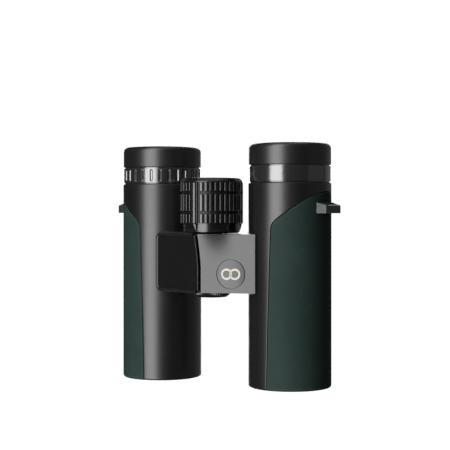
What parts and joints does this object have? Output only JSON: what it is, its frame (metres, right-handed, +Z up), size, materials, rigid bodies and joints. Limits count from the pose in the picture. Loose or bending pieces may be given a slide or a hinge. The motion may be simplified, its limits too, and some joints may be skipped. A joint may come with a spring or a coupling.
{
  "type": "compact roof-prism binoculars",
  "caption": "Compact folding roof-prism binoculars with a centre hinge and focus wheel, twist-up eyecups, a diopter ring, strap loops and a tripod socket.",
  "frame": {"origin": "middle of the base plane on which the two objective ends stand, centred on the box", "axes": "+Z up from objectives to eyecups, -Y towards the side with the bridge covers and badge, +X towards the barrel named right; the diopter ring is on the left, -X, barrel"},
  "size_m": [0.1244, 0.0504, 0.1172],
  "materials": {
    "armor_rubber": "fine satin black armour",
    "grip_rubber": "dark green mottled grip rubber",
    "housing_plastic": "glass-filled black moulding, fine grain",
    "housing_alloy": "light alloy casting, painted black",
    "cover_satin": "satin black painted plate",
    "ring_gloss": "glossy black",
    "eyecup_rubber": "soft satin black",
    "wheel_rubber": "ribbed black rubber",
    "wheel_plastic": "satin black",
    "barrel_metal": "black anodised",
    "hinge_steel": "turned and oiled",
    "lens_glass": "multi-coated",
    "prism_glass": "polished faces",
    "badge_metal": "dark green satin disc",
    "emblem_enamel": "cream enamel",
    "seal_rubber": "matt black seal",
    "washer_brass": "plain turned"
  },
  "bodies": {
    "left_barrel": {"left_housing": "housing_alloy", "left_armor": "armor_rubber", "left_grip_panel": "grip_rubber", "left_strap_lug": "housing_plastic", "left_objective_ring": "barrel_metal", "left_objective_lens": "lens_glass", "left_objective_doublet": "lens_glass", "left_entry_prism": "prism_glass", "left_roof_prism": "prism_glass", "left_prism_cage": "housing_plastic", "left_ocular_tube": "barrel_metal", "left_eye_lens": "lens_glass", "left_bridge_cover": "cover_satin", "tripod_socket": "hinge_steel", "hinge_axle": "hinge_steel", "hinge_washers": "washer_brass"},
    "right_barrel": {"right_housing": "housing_alloy", "right_armor": "armor_rubber", "right_grip_panel": "grip_rubber", "right_strap_lug": "housing_plastic", "right_objective_ring": "barrel_metal", "right_objective_lens": "lens_glass", "right_objective_doublet": "lens_glass", "right_entry_prism": "prism_glass", "right_roof_prism": "prism_glass", "right_prism_cage": "housing_plastic", "right_ocular_tube": "barrel_metal", "right_eye_lens": "lens_glass", "right_bridge_cover": "cover_satin", "badge_disc": "badge_metal", "badge_emblem": "emblem_enamel", "right_ocular_ring": "ring_gloss", "right_field_cell": "barrel_metal", "right_field_lens": "lens_glass"},
    "left_focus": {"left_focus_cell": "barrel_metal", "left_focus_lens": "lens_glass"},
    "right_focus": {"right_focus_cell": "barrel_metal", "right_focus_lens": "lens_glass"},
    "focus_puck": {"focus_puck": "washer_brass"},
    "focus_wheel": {"focus_wheel_hub": "wheel_plastic", "focus_wheel_grip": "wheel_rubber", "focus_wheel_cap": "wheel_plastic", "focus_wheel_screw": "wheel_plastic", "focus_spindle": "hinge_steel"},
    "diopter_ring": {"diopter_ring": "ring_gloss"},
    "diopter_cell": {"diopter_cell": "barrel_metal", "left_field_lens": "lens_glass"},
    "left_eyecup_guide": {"left_eyecup_guide": "housing_plastic"},
    "left_eyecup": {"left_eyecup_sleeve": "barrel_metal", "left_eyecup_rubber": "eyecup_rubber"},
    "right_eyecup_guide": {"right_eyecup_guide": "housing_plastic"},
    "right_eyecup": {"right_eyecup_sleeve": "barrel_metal", "right_eyecup_rubber": "eyecup_rubber"},
    "tripod_cap": {"tripod_cap": "wheel_plastic", "tripod_cap_seal": "seal_rubber"}
  },
  "joints": [
    {"name": "bridge_fold", "type": "hinge", "parent": "left_barrel", "child": "right_barrel", "pos_m": [0, -0.006, 0.0595], "axis": [0, 0, 1], "range_deg": [-2, 56]},
    {"name": "focus_turn", "type": "hinge", "parent": "left_barrel", "child": "focus_wheel", "pos_m": [0, -0.006, 0.0876], "axis": [0, 0, 1], "range_deg": [-270, 270]},
    {"name": "focus_puck_travel", "type": "slide", "parent": "left_barrel", "child": "focus_puck", "axis": [0, 0, 1], "range_m": [-0.0025, 0.0025]},
    {"name": "left_focus_travel", "type": "slide", "parent": "left_barrel", "child": "left_focus", "axis": [0, 0, 1], "range_m": [-0.0025, 0.0025]},
    {"name": "right_focus_travel", "type": "slide", "parent": "right_barrel", "child": "right_focus", "axis": [0, 0, 1], "range_m": [-0.0025, 0.0025]},
    {"name": "diopter_turn", "type": "hinge", "parent": "left_barrel", "child": "diopter_ring", "pos_m": [-0.03785, 0.0052, 0.1025], "axis": [0, 0, 1], "range_deg": [-60, 60]},
    {"name": "diopter_travel", "type": "slide", "parent": "left_barrel", "child": "diopter_cell", "axis": [0, 0, 1], "range_m": [-0.0007, 0.0007]},
    {"name": "left_eyecup_lift", "type": "slide", "parent": "left_barrel", "child": "left_eyecup_guide", "axis": [0, 0, 1], "range_m": [0, 0.008]},
    {"name": "left_eyecup_turn", "type": "hinge", "parent": "left_eyecup_guide", "child": "left_eyecup", "pos_m": [-0.03785, 0.0052, 0.11], "axis": [0, 0, 1], "range_deg": [0, 120]},
    {"name": "right_eyecup_lift", "type": "slide", "parent": "right_barrel", "child": "right_eyecup_guide", "axis": [0, 0, 1], "range_m": [0, 0.008]},
    {"name": "right_eyecup_turn", "type": "hinge", "parent": "right_eyecup_guide", "child": "right_eyecup", "pos_m": [0.03785, 0.0052, 0.11], "axis": [0, 0, 1], "range_deg": [0, 120]},
    {"name": "tripod_cap_off", "type": "slide", "parent": "left_barrel", "child": "tripod_cap", "axis": [0, 0, -1], "range_m": [0, 0.055]}
  ],
  "couplings": [
    {"joint": "focus_puck_travel", "follows": "focus_turn", "m_per_rad": 0.00053},
    {"joint": "left_focus_travel", "follows": "focus_turn", "m_per_rad": 0.00053},
    {"joint": "right_focus_travel", "follows": "focus_turn", "m_per_rad": 0.00053},
    {"joint": "diopter_travel", "follows": "diopter_turn", "m_per_rad": 0.00066},
    {"joint": "left_eyecup_lift", "follows": "left_eyecup_turn", "m_per_rad": 0.0038},
    {"joint": "right_eyecup_lift", "follows": "right_eyecup_turn", "m_per_rad": 0.0038}
  ]
}
